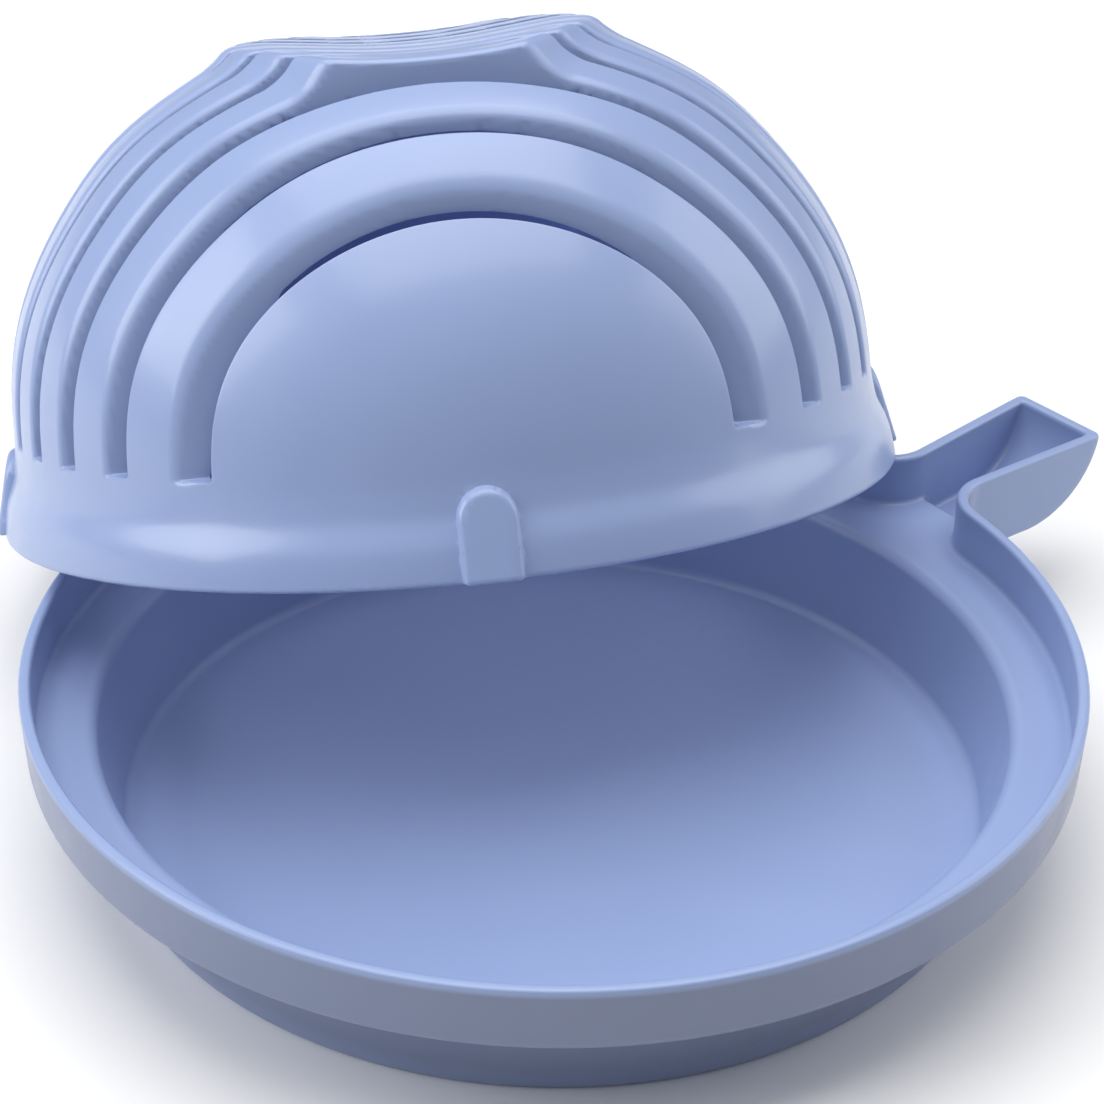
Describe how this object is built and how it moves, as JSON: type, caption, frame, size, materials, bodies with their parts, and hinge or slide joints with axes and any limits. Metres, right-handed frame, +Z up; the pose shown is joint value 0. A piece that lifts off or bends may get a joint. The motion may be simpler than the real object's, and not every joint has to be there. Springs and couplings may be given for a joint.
{
  "type": "salad cutter bowl and tray",
  "caption": "Shallow round tray with a hollow side handle, and a slotted dome-shaped cutter bowl leaning rim down on it.",
  "frame": {"origin": "centre of the tray's flat underside, on the surface it stands on", "axes": "+Z up, +X from the tray's centre along its handle"},
  "size_m": [0.2791, 0.2949, 0.1523],
  "materials": {
    "tray_plastic": "satin",
    "bowl_plastic": "semi-gloss"
  },
  "bodies": {
    "tray_body": {"tray": "tray_plastic"},
    "bowl_body": {"slotted_bowl": "bowl_plastic"}
  },
  "joints": [
    {"name": "bowl_lift", "type": "slide", "parent": "tray_body", "child": "bowl_body", "axis": [0, 0, 1], "range_m": [0, 0.12]}
  ]
}
